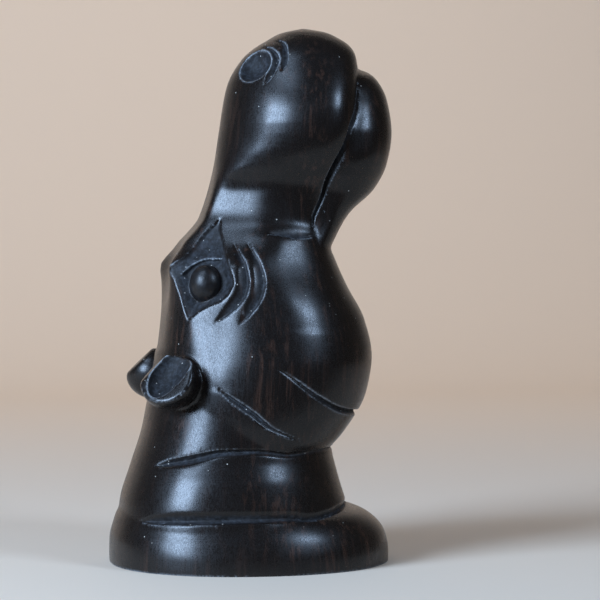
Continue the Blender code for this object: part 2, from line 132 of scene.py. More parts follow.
# How finely the block is worked before and after carving. Grain, overlap and depth are in units
fineness = {
    "ring step": 0.5, "ring sides": 320, "block grain": 0.5, "block smoothing": 11, "overlap": 2,
    "carved grain": 0.3, "edge depth": 0.06, "edge spread": 3, "edge smoothing": 2, "surface smoothing": 6,
    "melting": 30, "triangles": 186000,
}


def lineThrough(points, at):
    # A smooth line through (place, value) points that never swings past them
    places = np.array([p[0] for p in points], dtype=float)
    values = np.array([p[1] for p in points], dtype=float)
    gaps = np.diff(places)
    slopes = np.diff(values) / gaps
    tangents = np.zeros(len(values))
    tangents[0] = slopes[0]
    tangents[-1] = slopes[-1]
    for i in range(1, len(values) - 1):
        if slopes[i - 1] * slopes[i] > 0:
            before = 2 * gaps[i] + gaps[i - 1]
            after = gaps[i] + 2 * gaps[i - 1]
            tangents[i] = (before + after) / (before / slopes[i - 1] + after / slopes[i])
    at = np.clip(at, places[0], places[-1])
    cell = np.clip(np.searchsorted(places, at) - 1, 0, len(gaps) - 1)
    t = (at - places[cell]) / gaps[cell]
    level = values[cell] * (1 + 2 * t) * (1 - t) ** 2 + values[cell + 1] * t ** 2 * (3 - 2 * t)
    bend = tangents[cell] * t * (1 - t) ** 2 - tangents[cell + 1] * t ** 2 * (1 - t)
    return level + bend * gaps[cell]


def signedPower(value, exponent):
    return math.copysign(abs(value) ** exponent, value)


def asObject(name, bm):
    mesh = bpy.data.meshes.new(name)
    bm.to_mesh(mesh)
    bm.free()
    made = bpy.data.objects.new(name, mesh)
    bpy.context.scene.collection.objects.link(made)
    return made


def skin(bm, loops):
    rings = [[bm.verts.new(point) for point in loop] for loop in loops]
    sides = len(rings[0])
    for lower, upper in zip(rings, rings[1:]):
        for i in range(sides):
            j = (i + 1) % sides
            bm.faces.new((lower[i], lower[j], upper[j], upper[i]))
    bm.faces.new(list(reversed(rings[0])))
    bm.faces.new(rings[-1])


def softOver(excess, softness):
    # How much to pare off what stands over a plane, so that the new corner is round
    return (excess + math.hypot(excess, softness)) / 2


def lofted(bm, lines):
    low, high = lines["face"][0][0], lines["face"][-1][0]
    heights = np.linspace(low, high, int(round((high - low) / fineness["ring step"])) + 1)
    face, throat, width, widest, faceSquare, throatSquare = (
        lineThrough(lines[key], heights)
        for key in ("face", "throat", "half width", "widest", "face squareness", "throat squareness")
    )
    flat = np.full(len(heights), -math.inf)
    brows = np.zeros(len(heights))
    if "forehead" in lines:
        pared = (heights >= lines["forehead"][0][0]) & (heights <= lines["forehead"][-1][0])
        flat[pared] = lineThrough(lines["forehead"], heights[pared])
        brows[pared] = lineThrough(lines["brows"], heights[pared])
    planes = []
    for facing, crisp, soft, distances in lines.get("planes", []):
        level = np.full(len(heights), math.inf)
        reached = (heights >= distances[0][0]) & (heights <= distances[-1][0])
        level[reached] = lineThrough(distances, heights[reached])
        planes.append((math.sin(math.radians(facing)), math.cos(math.radians(facing)), crisp, soft, level))
    loops = []
    for k, z in enumerate(heights):
        loop = []
        for i in range(fineness["ring sides"]):
            angle = 2 * math.pi * i / fineness["ring sides"]
            forward = math.cos(angle)
            square = throatSquare[k] if forward > 0 else faceSquare[k]
            reach = throat[k] - widest[k] if forward > 0 else widest[k] - face[k]
            x = widest[k] + reach * signedPower(forward, 2 / square)
            y = width[k] * signedPower(math.sin(angle), 2 / square)
            if flat[k] > -math.inf:
                pared = flat[k] - brows[k] * min(1, abs(y) / lines["brow spread"]) ** 2
                x += softOver(pared - x, lines["brow softness"])
            for sine, cosine, crisp, soft, level in planes:
                if level[k] == math.inf:
                    continue
                along = (x * cosine + abs(y) * sine - lines["softens along"][0]) / lines["softens along"][1]
                up = (z - lines["softens up"][0]) / lines["softens up"][1]
                softness = crisp + (soft - crisp) * min(1, max(0, along, up))
                over = softOver(abs(y) * cosine - x * sine - level[k], softness)
                x += over * sine
                y -= math.copysign(over * cosine, y)
            loop.append(Vector((x, y, z)) * unit)
        loops.append(loop)
    skin(bm, loops)


def addBall(bm, ball, rings=48):
    # An egg shape from its centre, radii and turn in degrees about X, Y and Z
    made = bmesh.ops.create_uvsphere(bm, u_segments=rings * 2, v_segments=rings, radius=1)
    place = Matrix.Translation(Vector(ball["centre"]) * unit)
    for axis, angle in zip("ZYX", reversed(ball["turn"])):
        place = place @ Matrix.Rotation(math.radians(angle), 4, axis)
    place = place @ Matrix.Diagonal((*(radius * unit for radius in ball["radii"]), 1))
    bmesh.ops.transform(bm, matrix=place, verts=made["verts"])


def sliceFlat(bm, place, out):
    everything = bm.verts[:] + bm.edges[:] + bm.faces[:]
    bmesh.ops.bisect_plane(bm, geom=everything, plane_co=place, plane_no=out, clear_outer=True)
    bmesh.ops.contextual_create(bm, geom=[edge for edge in bm.edges if edge.is_boundary])
    bmesh.ops.recalc_face_normals(bm, faces=bm.faces)


# The near ear: its body, the two slices that open it, as (way out, height), and its scooped hollow.
# Melted is where the top of the hollow runs out into the head: centre, outer and inner reach
ear = {
    "body": {"centre": (-24.8, -24.2, 52.2), "radii": (8.2, 9, 7.9), "turn": (0, 0, 0)},
    "slices": [((-0.5, -0.72, 0.48), 3.1), ((-0.707, 0, 0.707), 5.4)],
    "scoop": {"centre": (-24.3, -28, 58.4), "radii": (5, 7.4, 11.6), "turn": (0, 31, 0)},
    "melted": ((-20.5, -21.5, 60.5), 5.5, 2.2),
}


def addEar(bm):
    # An egg shape sliced flat twice
    shell = bmesh.new()
    addBall(shell, ear["body"])
    for out, height in ear["slices"]:
        out = Vector(out).normalized()
        sliceFlat(shell, (Vector(ear["body"]["centre"]) + out * height) * unit, out)
    mesh = bpy.data.meshes.new("ear")
    shell.to_mesh(mesh)
    shell.free()
    bm.from_mesh(mesh)
    bpy.data.meshes.remove(mesh)


def applied(name, source):
    graph = bpy.context.evaluated_depsgraph_get()
    mesh = bpy.data.meshes.new_from_object(source.evaluated_get(graph))
    mesh.name = name
    made = bpy.data.objects.new(name, mesh)
    bpy.context.scene.collection.objects.link(made)
    bpy.data.objects.remove(source)
    return made


def voxelRemesh(item, grain):
    remesh = item.modifiers.new("remesh", "REMESH")
    remesh.mode = "VOXEL"
    remesh.voxel_size = grain * unit


def smoothBlock():
    # Head, jaw, neck, foot and the near ear as one smooth closed form, sawn level below
    bm = bmesh.new()
    for lines in (head, lowerJaw, neck, foot):
        lofted(bm, lines)
    addEar(bm)
    rough = asObject("rough block", bm)
    voxelRemesh(rough, fineness["block grain"])
    soften = rough.modifiers.new("soften", "SMOOTH")
    soften.factor = 0.5
    soften.iterations = fineness["block smoothing"]
    worked = applied("block", rough)
    bm = bmesh.new()
    bm.from_mesh(worked.data)
    sliceFlat(bm, Vector((0, 0, 0)), Vector((0, 0, -1)))
    # The far side is mirrored later, and the halves overlap at the middle
    sliceFlat(bm, Vector((0, fineness["overlap"] * unit, 0)), Vector((0, 1, 0)))
    bm.to_mesh(worked.data)
    bm.free()
    return worked


# Gouge cuts on the near side. Each runs along points (x, y, z, size), dropped on the wood. Below and
# above are its two flanks, as (width, ease): ease 1 is a straight flank with a crisp rim, 2 rolls in.
# The flanks of a cut that follows bend with the wood, and the others run straight across it
cuts = {
    "mouth line": {
        "path": [
            (28, -14, 135.5, 0.3), (26.4, -19, 126, 0.7), (25.2, -20.2, 123.5, 1),
            (24.2, -21, 120.6, 1), (22.4, -20, 114.8, 1), (20.2, -17.4, 109.8, 0.9),
            (17.8, -14.4, 101.4, 0.7), (16, -14.4, 96.4, 0.6), (15.8, -16.4, 91.7, 0.1),
        ],
        "below": (1.0, 1), "above": (1.2, 1), "depth": 2.6, "follow": False,
    },
    "mouth corner": {
        "path": [
            (17, -16, 91.7, 0.2), (13.4, -18.4, 91.5, 0.8), (10, -19.6, 91.8, 1), (6, -19.8, 92.6, 0.8),
            (1.6, -19, 92.9, 0.1),
        ],
        "below": (3.2, 1.8), "above": (0.4, 1), "depth": 1.2, "follow": True,
    },
    "jowl fold": {
        "path": [
            (0, -30.9, 58.4, 0.1), (7.5, -31.1, 53.4, 0.5), (15, -29.6, 48, 0.8), (22.5, -24, 44, 1),
            (28, -15, 42.6, 1.1), (30.4, 0, 42.4, 1.1), (30.2, 3, 42.4, 1.1),
        ],
        "below": (1.1, 1.4), "above": (0.7, 1), "depth": 1.6, "follow": True,
    },
    "cheek fold": {
        "path": [
            (-13, -26.6, 51.2, 0.1), (-8, -29, 47.2, 0.9), (-2.8, -30.5, 43.4, 1), (3, -30.4, 39, 0.7),
            (9, -29, 36.6, 0.4), (14, -26, 35.2, 0.1),
        ],
        "below": (1.0, 1.2), "above": (0.8, 1), "depth": 1.3, "follow": True,
    },
    "upper neck fold": {
        "path": [
            (-28.7, -17.6, 28.3, 0.1), (-25, -21.6, 29.9, 0.8), (-19.4, -25.6, 31.2, 1),
            (-11, -28.7, 33, 0.8), (-1.5, -29.4, 33.2, 0.6), (8.5, -27, 32, 0.5),
            (17, -20.4, 32.2, 0.5), (22, -11, 32.4, 0.4), (23.6, 0, 32.4, 0.4), (23.4, 3, 32.4, 0.4),
        ],
        "below": (2.4, 1.6), "above": (1.0, 1), "depth": 1.9, "follow": True,
    },
    "lower neck fold": {
        "path": [
            (-33.3, -19, 13.5, 0.1), (-30, -24, 14, 0.7), (-23, -29, 14.5, 1), (-13, -32.3, 14.8, 1),
            (-1.5, -33.4, 15, 0.9), (10, -31.6, 15.2, 0.8), (20, -24, 15.8, 0.7), (26, -12, 16.4, 0.6),
            (27.8, 0, 16.6, 0.6), (27.6, 3, 16.6, 0.6),
        ],
        "below": (1.2, 1), "above": (2.6, 1.6), "depth": 1.7, "follow": True,
    },
    "inner eye wrinkle": {
        "path": [
            (-6.4, -16.7, 90.6, 0.1), (-5.2, -21, 87.1, 0.6), (-4, -23.6, 83.8, 0.8),
            (-3.6, -25.4, 79.7, 1), (-4.4, -26.5, 76.4, 1), (-6.4, -26.9, 73.6, 1),
            (-9.4, -26.5, 71, 0.8), (-13.2, -25, 68, 0.1),
        ],
        "below": (2.9, 1.1), "above": (0.6, 1), "depth": 1.3, "follow": True,
    },
    "outer eye wrinkle": {
        "path": [
            (-2.9, -18.5, 90.6, 0.1), (-1.4, -21.9, 87.3, 0.6), (0.2, -24, 83.8, 0.8),
            (1, -25.8, 79.7, 1), (0.3, -27.2, 76.4, 1), (-1.6, -28.2, 73.2, 1),
            (-3.8, -28.6, 70.7, 0.8), (-6.8, -28.2, 67.6, 0.1),
        ],
        "below": (2.7, 1.1), "above": (0.6, 1), "depth": 1.2, "follow": True,
    },
    "inner nostril wrinkle": {
        "path": [
            (1.7, -16.9, 133.1, 0.1), (3.6, -17.4, 135.7, 0.8), (5, -17, 138.2, 1), (6, -15.6, 141, 1),
            (5.2, -12, 143.4, 0.7), (2.6, -6.5, 144.7, 0.1),
        ],
        "below": (0.5, 1), "above": (2.2, 1.3), "depth": 1.6, "follow": True,
    },
    "outer nostril wrinkle": {
        "path": [
            (6.3, -18.4, 137.1, 0.1), (7.6, -18.2, 139.3, 0.8), (8.2, -16.6, 141.8, 1),
            (8.4, -13.8, 144.6, 0.8), (6, -7, 146.6, 0.1),
        ],
        "below": (0.5, 1), "above": (2.2, 1.3), "depth": 1.4, "follow": True,
    },
}
gouge = {
    "step": 0.5, "floor": 0.08, "clearance": 0.9, "flare": 0.35, "flank points": 7, "steadied over": 5,
}


def flankDepth(share, ease):
    # How deep a flank is, as a share of the cut, at a share of the way from its floor to its rim
    floor = gouge["floor"]
    share = (math.hypot(share, floor) - floor) / (math.hypot(1, floor) - floor)
    return (1 - min(1, share)) ** ease


def gougeCut(bm, cut, wood):
    points = np.array(cut["path"], dtype=float)
    run = np.concatenate(([0], np.cumsum(np.linalg.norm(np.diff(points[:, :3], axis=0), axis=1))))
    steps = np.linspace(0, run[-1], int(run[-1] / gouge["step"]) + 1)
    x, y, z, size = (lineThrough(list(zip(run, points[:, k])), steps) for k in range(4))
    path = [Vector(p) * unit for p in zip(x, y, z)]
    dropped = [wood.find_nearest(p) for p in path]
    last = len(path) - 1
    shares = [k / gouge["flank points"] for k in range(1, gouge["flank points"] + 1)]
    loops = []
    for i in range(len(path)):
        place = dropped[i][0]
        ahead = path[min(i + 1, last)] - path[max(i - 1, 0)]
        reach = gouge["steadied over"]
        out = sum((hit[1] for hit in dropped[max(i - reach, 0):i + reach + 1]), Vector()).normalized()
        ahead = (ahead - ahead.project(out)).normalized()
        across = out.cross(ahead)

        def onFlank(width, side, share, level):
            base = place + across * (side * width * size[i] * share * unit)
            if cut["follow"]:
                base = wood.find_nearest(base)[0]
            return base + out * level * unit

        section = []
        for flank, side in ((cut["below"], -1), (cut["above"], 1)):
            width, ease = flank
            depth = cut["depth"] * size[i]
            points = [onFlank(width, side, s, -depth * flankDepth(s, ease)) for s in shares]
            flared = out + across * side * gouge["flare"]
            points.append(points[-1] + flared * gouge["clearance"] * unit)
            section.append(points)
        bottom = place - out * cut["depth"] * size[i] * unit
        loops.append(list(reversed(section[0])) + [bottom] + section[1])
    skin(bm, loops)


# The eye socket: a kite cut round the eyeball, with a sloping lid above it. The outline is drawn across
# and up from the centre, square to the way the socket faces, in degrees from the side to the face
socket = {
    "centre": (-15.1, -21.6, 79), "facing": 33,
    "outline": [
        (-0.6, 18.3), (-0.2, 14.6), (2.7, 9.8), (5.8, 5.6), (7.6, 2.2), (8.2, -0.4), (6.8, -3.5),
        (4.7, -5.4), (1.8, -6.5), (-1, -7.9), (-4.7, -10.6), (-6.2, -7.8), (-7.8, -3.7), (-9.9, 0.6),
        (-12.5, 3.9), (-8.4, 6.9), (-7.2, 8.8), (-6, 11.3), (-4.4, 14.1),
    ],
    "depth": 3.0, "wall": 0.9, "lid height": 5.9, "lid falls from": -1, "lid fall": 0.09, "lid edge": 0.5,
    "lid depth": 1.4, "lid top depth": 0.5, "top": 8, "spokes": 160, "rings": 44,
}
# The eyeball turns about Z alone. Its polish fades out between these two shares of its radii
eyeball = {
    "centre": (-14.3, -18, 78.6), "radii": (4.5, 3.8, 5.2), "turn": (0, 0, -33), "fades": (1.12, 1.05),
}
nostril = {"centre": (-1.5, -12.6, 140.4), "radii": (6.1, 7.8, 5.9), "turn": (0, 0, 0)}


def socketDepth(u, v, inset):
    # The lid lies above a line that runs level over the eyeball and falls away towards the face
    lidLine = socket["lid height"] - socket["lid fall"] * max(0, socket["lid falls from"] - u) ** 2
    rise = min(1, max(0, (v - lidLine) / (socket["outline"][0][1] - lidLine)))
    lid = socket["lid depth"] + (socket["lid top depth"] - socket["lid depth"]) * rise
    overLid = min(1, max(0, (v - lidLine) / socket["lid edge"]))
    return min(socket["depth"] + (lid - socket["depth"]) * overLid, inset * socket["wall"])


def sidesOf(outline):
    return zip(outline, outline[1:] + outline[:1])


def outlineReach(outline, angle):
    # How far the outline lies from its centre at an angle
    ray = Vector((math.cos(angle), math.sin(angle))) * 100  # well past any outline
    hits = (geometry.intersect_line_line_2d((0, 0), ray, a, b) for a, b in sidesOf(outline))
    return max(hit.length for hit in hits if hit)


def outlineInset(outline, u, v):
    # How far a place lies from the nearest side of the outline
    place = Vector((u, v, 0))
    gaps = []
    for a, b in sidesOf(outline):
        a, b = Vector((*a, 0)), Vector((*b, 0))
        share = geometry.intersect_point_line(place, a, b)[1]
        gaps.append((a + (b - a) * min(1, max(0, share)) - place).length)
    return min(gaps)


def socketCut(bm, wood):
    facing = math.radians(socket["facing"])
    out = Vector((-math.sin(facing), -math.cos(facing), 0))
    across = Vector((math.cos(facing), -math.sin(facing), 0))
    centre = Vector(socket["centre"])

    def point(u, v, level):
        return (centre + across * u + Vector((0, 0, v)) + out * level) * unit

    def woodLevel(u, v):
        return socket["top"] - wood.ray_cast(point(u, v, socket["top"]), -out)[3] / unit

    lip = gouge["clearance"] / socket["wall"]
    reaches = []
    for k in range(socket["spokes"]):
        angle = 2 * math.pi * k / socket["spokes"]
        reaches.append((outlineReach(socket["outline"], angle), math.cos(angle), math.sin(angle)))
    loops = []
    for ring in range(1, socket["rings"] + 1):
        share = ring / socket["rings"]
        loop = []
        for reach, cosine, sine in reaches:
            u, v = share * reach * cosine, share * reach * sine
            depth = socketDepth(u, v, outlineInset(socket["outline"], u, v))
            loop.append(point(u, v, woodLevel(u, v) - depth))
        loops.append(loop)
    flared = [((reach + lip) * cosine, (reach + lip) * sine, woodLevel(reach * cosine, reach * sine))
              for reach, cosine, sine in reaches]
    loops.append([point(u, v, level + gouge["clearance"]) for u, v, level in flared])
    loops.append([point(u, v, socket["top"]) for u, v, level in flared])
    skin(bm, loops)


def carved(block, wood):
    # Cuts the near side, joins its eyeball on and mirrors it to the far side
    tools = []
    for name, cut in cuts.items():
        bm = bmesh.new()
        gougeCut(bm, cut, wood)
        tools.append((name, bm, "DIFFERENCE"))
    bm = bmesh.new()
    socketCut(bm, wood)
    tools.append(("eye socket", bm, "DIFFERENCE"))
    balls = (
        ("ear scoop", ear["scoop"], "DIFFERENCE"), ("nostril", nostril, "DIFFERENCE"),
        ("eyeball", eyeball, "UNION"),
    )
    for name, ball, action in balls:
        bm = bmesh.new()
        addBall(bm, ball)
        tools.append((name, bm, action))
    cutters = []
    for name, bm, action in tools:
        bmesh.ops.recalc_face_normals(bm, faces=bm.faces)
        cutter = asObject(name, bm)
        cutters.append(cutter)
        step = block.modifiers.new(name, "BOOLEAN")
        step.operation = action
        step.solver = "MANIFOLD"
        step.object = cutter
    mirror = block.modifiers.new("far side", "MIRROR")
    mirror.use_axis = (False, True, False)
    mirror.use_mirror_merge = False  # the two halves overlap, and the remesh makes them one
    voxelRemesh(block, fineness["carved grain"])
    made = applied("carved block", block)
    for cutter in cutters:
        bpy.data.objects.remove(cutter)
    return made


def vertexArray(mesh):
    places = np.zeros(len(mesh.vertices) * 3)
    mesh.vertices.foreach_get("co", places)
    return places.reshape(-1, 3)


def edgeArray(mesh):
    ends = np.zeros(len(mesh.edges) * 2, dtype=np.int64)
    mesh.edges.foreach_get("vertices", ends)
    return ends.reshape(-1, 2)


def neighbourMean(values, ends, count):
    # The mean of each point's neighbours. The tiny part keeps a lone point from dividing by nothing
    total = np.zeros((count,) + values.shape[1:])
    number = np.zeros(count)
    for a, b in ((0, 1), (1, 0)):
        np.add.at(total, ends[:, a], values[ends[:, b]])
        np.add.at(number, ends[:, a], 1)
    return total / (number.reshape(-1, *([1] * (values.ndim - 1))) + 1e-9)


block = smoothBlock()
wood = BVHTree.FromObject(block, bpy.context.evaluated_depsgraph_get())
print("block worked,", len(block.data.polygons), "faces")
rough = carved(block, wood)
print("carving cut,", len(rough.data.polygons), "faces")


def depthBelowBlock(mesh):
    # How far each point lies under the uncarved block, in units, measured on the near side
    places = vertexArray(mesh)
    depths = np.zeros(len(places))
    for i, (x, y, z) in enumerate(places):
        here = Vector((x, -abs(y), z))
        spot, normal = wood.find_nearest(here)[:2]
        depths[i] = (spot - here).dot(normal) / unit
    return depths


def eased(values, start, end):
    # 0 up to start, 1 from end on, and a smooth rise between them
    share = np.clip((values - start) / (end - start), 0, 1)
    return share * share * (3 - 2 * share)


def nearSidePlaces(mesh):
    places = vertexArray(mesh) / unit
    places[:, 1] = -np.abs(places[:, 1])
    return places


def meltedShare(mesh):
    # 1 where the ear's hollow runs out into the head, falling to 0 round it
    centre, outer, inner = ear["melted"]
    return eased(np.linalg.norm(nearSidePlaces(mesh) - centre, axis=1), outer, inner)


def onEyeball(mesh):
    # 1 on the eyeball and 0 off it
    turned = np.array(Matrix.Rotation(math.radians(eyeball["turn"][2]), 3, "Z"))
    across = (nearSidePlaces(mesh) - eyeball["centre"]) @ turned / np.array(eyeball["radii"])
    return eased(np.linalg.norm(across, axis=1), *eyeball["fades"])


def vertexNormals(mesh):
    normals = np.zeros(len(mesh.vertices) * 3)
    mesh.vertices.foreach_get("normal", normals)
    return normals.reshape(-1, 3)


def outwardBend(mesh, ends):
    # How sharply the surface bends outward, as 1 over twice its radius in units
    places = vertexArray(mesh) / unit
    spans = np.linalg.norm(places[ends[:, 0]] - places[ends[:, 1]], axis=1)
    perPoint = np.zeros(len(places))
    number = np.zeros(len(places))
    for side in (0, 1):
        np.add.at(perPoint, ends[:, side], spans ** 2)
        np.add.at(number, ends[:, side], 1)
    away = ((places - neighbourMean(places, ends, len(places))) * vertexNormals(mesh)).sum(axis=1)
    return away / (perPoint / np.maximum(number, 1))


def addShare(mesh, name, values):
    held = mesh.attributes.new(name, "FLOAT", "POINT")
    held.data.foreach_set("value", np.clip(values, 0, 1))


def polished(item):
    # Rubs the open surface smooth, and the carved edges only a little
    count = len(item.data.vertices)
    ends = edgeArray(item.data)
    near = (np.abs(depthBelowBlock(item.data)) > fineness["edge depth"]).astype(float)
    for _ in range(fineness["edge spread"]):
        near = np.maximum(near, neighbourMean(near, ends, count))
    rubs = (
        ("open", 1 - near, fineness["surface smoothing"]), ("edges", near, fineness["edge smoothing"]),
        ("melted", meltedShare(item.data), fineness["melting"]),
    )
    for label, weights, iterations in rubs:
        group = item.vertex_groups.new(name=label)
        levels = np.round(weights, 1)
        for level in np.unique(levels):
            if level > 0:
                group.add(np.nonzero(levels == level)[0].tolist(), float(level), "REPLACE")
        rub = item.modifiers.new(label, "SMOOTH")
        rub.factor = 0.5
        rub.iterations = iterations
        rub.vertex_group = label
    triangles = sum(len(face.vertices) - 2 for face in item.data.polygons)
    thin = item.modifiers.new("thin", "DECIMATE")
    thin.ratio = min(1, fineness["triangles"] / triangles)
    return applied("hippo_head_carving", item)


# Marks of the tools in the hollows: their length and height in units, and the least hollow that has them
toolMarks = {"span": 1.3, "height": 0.1, "least": 0.05}


def roughened(mesh, gouged):
    places = vertexArray(mesh)
    normals = vertexNormals(mesh)
    for i in np.nonzero(gouged > toolMarks["least"])[0]:
        here = Vector(places[i]) / (toolMarks["span"] * unit)
        places[i] += normals[i] * noise.noise(here) * toolMarks["height"] * gouged[i] * unit
    mesh.vertices.foreach_set("co", places.ravel())
    mesh.update()


# What the finish takes from the shape. Gouged goes by depth in units, and the pale edges, partly wear and
# partly a painted highlight, by sharpness of bend, each from nothing to full. The eyeball is rubbed nearly
# as well as the rest, and the ear's melted place gets hardly any pale edge
wear = {"gouged": (0.25, 0.9), "eyeball gouged": 0.2, "edgeWearAndHighlight": (0.18, 0.7), "melted spared": 0.8}

carving = polished(rough)
ends = edgeArray(carving.data)
count = len(carving.data.vertices)
gouged = eased(depthBelowBlock(carving.data), *wear["gouged"])
gouged += (wear["eyeball gouged"] - gouged) * onEyeball(carving.data)
roughened(carving.data, gouged)
# Sharp outward bends take a pale edge colour in the material: partly wear, partly a painted highlight
edgeWearAndHighlight = eased(outwardBend(carving.data, ends), *wear["edgeWearAndHighlight"])
edgeWearAndHighlight *= 1 - wear["melted spared"] * meltedShare(carving.data)
for name, values in (("gouged", gouged), ("edgeWearAndHighlight", edgeWearAndHighlight)):
    values = (values + neighbourMean(values, ends, count)) / 2
    addShare(carving.data, name, values)
print("carving polished,", len(carving.data.polygons), "faces")

carving.data.transform(Matrix.Translation(toMiddle))
carving.data.shade_smooth()


def linear(colour):
    # An sRGB hex value as the linear colour that a shader takes
    parts = [int(colour[i:i + 2], 16) / 255 for i in (1, 3, 5)]
    return (*(c / 12.92 if c <= 0.04045 else ((c + 0.055) / 1.055) ** 2.4 for c in parts), 1)


def addNode(tree, kind, inputs=None, output=0, **settings):
    # Adds a node, sets its options, fills its inputs with values or links, and gives one output back
    made = tree.nodes.new("ShaderNode" + kind)
    for key, value in settings.items():
        setattr(made, key, value)
    for key, value in (inputs or {}).items():
        if isinstance(value, bpy.types.NodeSocket):
            tree.links.new(value, made.inputs[key])
        else:
            made.inputs[key].default_value = value
    return made.outputs[output]


# Ebony: nearly black heartwood, carved and rubbed by hand. To the eye it is black with fine red-brown
# streaks up the grain, satin where it has been rubbed, and dull grey and dusty in the gouged hollows
ebony = {
    # The pale blue-grey laid on sharp edges is partly wear and partly a painted highlight
    "black": "#110e0d", "brown": "#3a2820", "hollow": "#0f1013", "scuff": "#31353b", "edge highlight and wear": "#aab0b6",
    "dust": "#c9c4ba", "roughness": 0.27, "hollow roughness": 0.7, "ior": 1.4,
    "drift": 45, "sway": 9,  # over how many millimetres the grain wanders, and how far
    # Marks along the grain: width and length in millimetres, lean in degrees, detail and roughness. The
    # fibres and scratches are drawn wider than real ones, so that they show
    "grain": {
        "streaks": (1.5, 34, 0, 4, 0.6), "patches": (11, 70, 0, 2, 0.5), "fibres": (0.22, 7, 0, 2, 0.5),
        "scratches": (0.1, 2.4, 24, 2, 0.6), "brushing": (0.16, 1.1, -12, 2, 0.6),
    },
    # Marks with no direction: size in millimetres, detail and roughness
    "marks": {"speckle": (0.34, 3, 0.7), "smears": (6.5, 3, 0.6), "mottle": (1.3, 4, 0.75)},
    "dust spacing": 1.7,  # in millimetres
    # What a pattern comes to as it goes from low to high: pattern, low, high, and the two values
    "shares": {
        "brown in streaks": ("streaks", 0.48, 0.7, 0, 1),
        "brown in patches": ("patches", 0.42, 0.66, 0.12, 1),
        "brown in fibres": ("fibres", 0.3, 0.7, 0.5, 1),
        "scuffed": ("mottle", 0.4, 0.66, 0, 1),
        # Speckle breaks up the pale edge colour, which is partly wear and partly a painted highlight
        "edge highlight and wear showing": ("speckle", 0.3, 0.6, 0.25, 0.75),
        "facing up": ("upward", 0.1, 0.8, 0, 1),
        "holding dust": ("smears", 0.4, 0.6, 0, 1),
        "stray dust": ("smears", 0.5, 0.75, 0.02, 0.12),
        "round speck": ("from speck", 0.13, 0.06, 0, 1),
        "smeared": ("smears", 0.3, 0.75, -0.02, 0.04),
        "fibrous": ("fibres", 0.3, 0.7, -0.03, 0.05),
        "speckled": ("speckle", 0.35, 0.65, -0.05, 0.06),
    },
    # Products and sums of these, in order: what it gives, how, and its two terms
    "sums": (
        ("settled", "MULTIPLY", "facing up", "holding dust"),
        ("settled", "MULTIPLY", "settled", 0.45),
        ("dusty", "MULTIPLY", "gouged", 0.3),
        ("dusty", "ADD", "dusty", "settled"),
        ("dusty", "ADD", "dusty", "stray dust"),
        ("speck", "LESS_THAN", "any speck", "dusty"),
        ("speck", "MULTIPLY", "speck", "round speck"),
        ("speck shown", "MULTIPLY", "speck", 0.7),
        ("brown shown", "MULTIPLY", "brown in streaks", "brown in patches"),
        ("brown shown", "MULTIPLY", "brown shown", "brown in fibres"),
        ("hollow shown", "MULTIPLY", "gouged", 0.75),
        # The pale edge share below is partly wear and partly a painted highlight
        ("edge highlight and wear shown", "MULTIPLY", "edgeWearAndHighlight", "edge highlight and wear showing"),
        ("dulled", "MAXIMUM", "edge highlight and wear shown", "speck"),
        ("dulled", "MAXIMUM", "gouged", "dulled"),
        ("rubbed", "ADD", "roughness", "smeared"),
        ("rubbed", "ADD", "rubbed", "fibrous"),
        ("rubbed", "ADD", "rubbed", "speckled"),
        ("pits", "MULTIPLY", "speckle", "gouged"),
    ),
    "relief": {"scratches": 0.002, "brushing": 0.003, "fibres": 0.0025, "pits": 0.09},  # in millimetres
}


